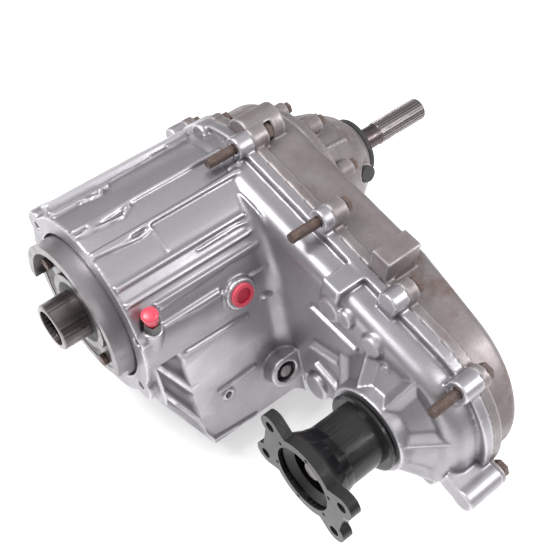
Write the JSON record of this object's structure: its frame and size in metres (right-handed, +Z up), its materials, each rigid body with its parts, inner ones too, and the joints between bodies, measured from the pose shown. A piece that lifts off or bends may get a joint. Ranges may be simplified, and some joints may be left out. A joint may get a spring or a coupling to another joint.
{
  "type": "transfer case",
  "caption": "Two-speed chain-drive transfer case with splined input hub, splined rear output shaft, offset front output flange and a selector shaft in a cast split housing.",
  "frame": {"origin": "where the main shaft axis crosses the front mounting face", "axes": "+X along the main shaft towards the rear output, -Y towards the front output shaft, +Z up"},
  "size_m": [0.497, 0.497, 0.2747],
  "materials": {
    "cast_front": "blasted casting",
    "cast_rear": "dull casting",
    "plated_bolt": "dull, partly rusty",
    "worn_iron": "machined and worn",
    "machined_steel": "machined",
    "bearing_steel": "ground",
    "fork_bronze": "satin",
    "black_paint": "semi-gloss",
    "seal_rubber": "matte",
    "red_plastic": "satin",
    "plain_plug": "plated",
    "pump_alloy": "die cast",
    "sensor_plastic": "matte",
    "magnet_black": "matte"
  },
  "bodies": {
    "root": {"front_case": "cast_front", "rear_case": "cast_rear", "tail_housing": "cast_rear", "tail_bolts": "plated_bolt", "rear_seal": "seal_rubber", "tail_bushing": "fork_bronze", "speed_sensor": "sensor_plastic", "case_bolts": "plated_bolt", "dowels": "plated_bolt", "drain_plug": "plain_plug", "fill_plug": "plain_plug", "input_retainer": "worn_iron", "retainer_bolts": "plated_bolt", "input_seal": "seal_rubber", "input_bearing": "bearing_steel", "ring_gear": "machined_steel", "case_snap_ring": "bearing_steel", "rear_bearing": "bearing_steel", "shift_rail": "machined_steel", "sector_seal": "seal_rubber", "detent_plunger": "bearing_steel", "detent_spring": "bearing_steel", "detent_plug": "plated_bolt", "drive_chain": "machined_steel", "oil_pump": "pump_alloy", "pickup_tube": "pump_alloy", "pickup_screen": "pump_alloy", "magnet": "magnet_black", "front_output_seal": "seal_rubber", "front_output_bearing": "bearing_steel", "front_rear_bearing": "bearing_steel", "vent_nipple": "plain_plug", "vent_cap": "red_plastic", "port_plug": "red_plastic"},
    "mainshaft": {"main_shaft": "machined_steel", "planet_carrier": "machined_steel", "planet_pins": "machined_steel", "mode_hub": "machined_steel", "drive_sprocket": "machined_steel", "shaft_snap_ring": "bearing_steel", "tone_ring": "machined_steel"},
    "input": {"input_gear": "machined_steel", "pilot_bearing": "bearing_steel"},
    "planet_1": {"planet_gear_1": "machined_steel"},
    "planet_2": {"planet_gear_2": "machined_steel"},
    "planet_3": {"planet_gear_3": "machined_steel"},
    "planet_4": {"planet_gear_4": "machined_steel"},
    "front_output": {"front_output_shaft": "machined_steel", "driven_sprocket": "machined_steel", "front_output_flange": "black_paint", "deflector": "black_paint", "flange_nut": "machined_steel"},
    "sector": {"shift_sector": "machined_steel"},
    "range_selector": {"range_fork": "fork_bronze"},
    "mode_selector": {"mode_fork": "fork_bronze"},
    "range_coupler": {"range_sleeve": "machined_steel"},
    "mode_coupler": {"mode_sleeve": "machined_steel"}
  },
  "joints": [
    {"name": "mainshaft_spin", "type": "hinge", "parent": "root", "child": "mainshaft", "pos_m": [0.1, 0, 0], "axis": [1, 0, 0], "continuous": true},
    {"name": "input_spin", "type": "hinge", "parent": "root", "child": "input", "pos_m": [0, 0, 0], "axis": [1, 0, 0], "continuous": true},
    {"name": "planet_1_spin", "type": "hinge", "parent": "mainshaft", "child": "planet_1", "pos_m": [0.045, 0.0605, 0], "axis": [1, 0, 0], "continuous": true},
    {"name": "planet_2_spin", "type": "hinge", "parent": "mainshaft", "child": "planet_2", "pos_m": [0.045, 0, 0.0605], "axis": [1, 0, 0], "continuous": true},
    {"name": "planet_3_spin", "type": "hinge", "parent": "mainshaft", "child": "planet_3", "pos_m": [0.045, -0.0605, 0], "axis": [1, 0, 0], "continuous": true},
    {"name": "planet_4_spin", "type": "hinge", "parent": "mainshaft", "child": "planet_4", "pos_m": [0.045, 0, -0.0605], "axis": [1, 0, 0], "continuous": true},
    {"name": "front_output_spin", "type": "hinge", "parent": "root", "child": "front_output", "pos_m": [0.1, -0.267, 0], "axis": [1, 0, 0], "continuous": true},
    {"name": "sector_turn", "type": "hinge", "parent": "root", "child": "sector", "pos_m": [0.137, -0.13134, -0.07752], "axis": [0, -0.9272, 0.3746], "range_deg": [0, 50]},
    {"name": "range_fork_slide", "type": "slide", "parent": "root", "child": "range_selector", "axis": [1, 0, 0], "range_m": [0, 0.009]},
    {"name": "mode_fork_slide", "type": "slide", "parent": "root", "child": "mode_selector", "axis": [1, 0, 0], "range_m": [-0.009, 0]},
    {"name": "range_sleeve_slide", "type": "slide", "parent": "mainshaft", "child": "range_coupler", "axis": [1, 0, 0], "range_m": [0, 0.009]},
    {"name": "mode_sleeve_slide", "type": "slide", "parent": "mainshaft", "child": "mode_coupler", "axis": [1, 0, 0], "range_m": [-0.009, 0]}
  ],
  "couplings": [
    {"joint": "input_spin", "follows": "mainshaft_spin", "ratio": 2.75},
    {"joint": "planet_1_spin", "follows": "mainshaft_spin", "ratio": -4.6667},
    {"joint": "planet_2_spin", "follows": "mainshaft_spin", "ratio": -4.6667},
    {"joint": "planet_3_spin", "follows": "mainshaft_spin", "ratio": -4.6667},
    {"joint": "planet_4_spin", "follows": "mainshaft_spin", "ratio": -4.6667},
    {"joint": "front_output_spin", "follows": "mainshaft_spin", "ratio": 1},
    {"joint": "sector_turn", "follows": "range_fork_slide", "rad_per_m": 96.962},
    {"joint": "mode_fork_slide", "follows": "range_fork_slide", "ratio": -1},
    {"joint": "range_sleeve_slide", "follows": "range_fork_slide", "ratio": 1},
    {"joint": "mode_sleeve_slide", "follows": "range_fork_slide", "ratio": -1}
  ]
}
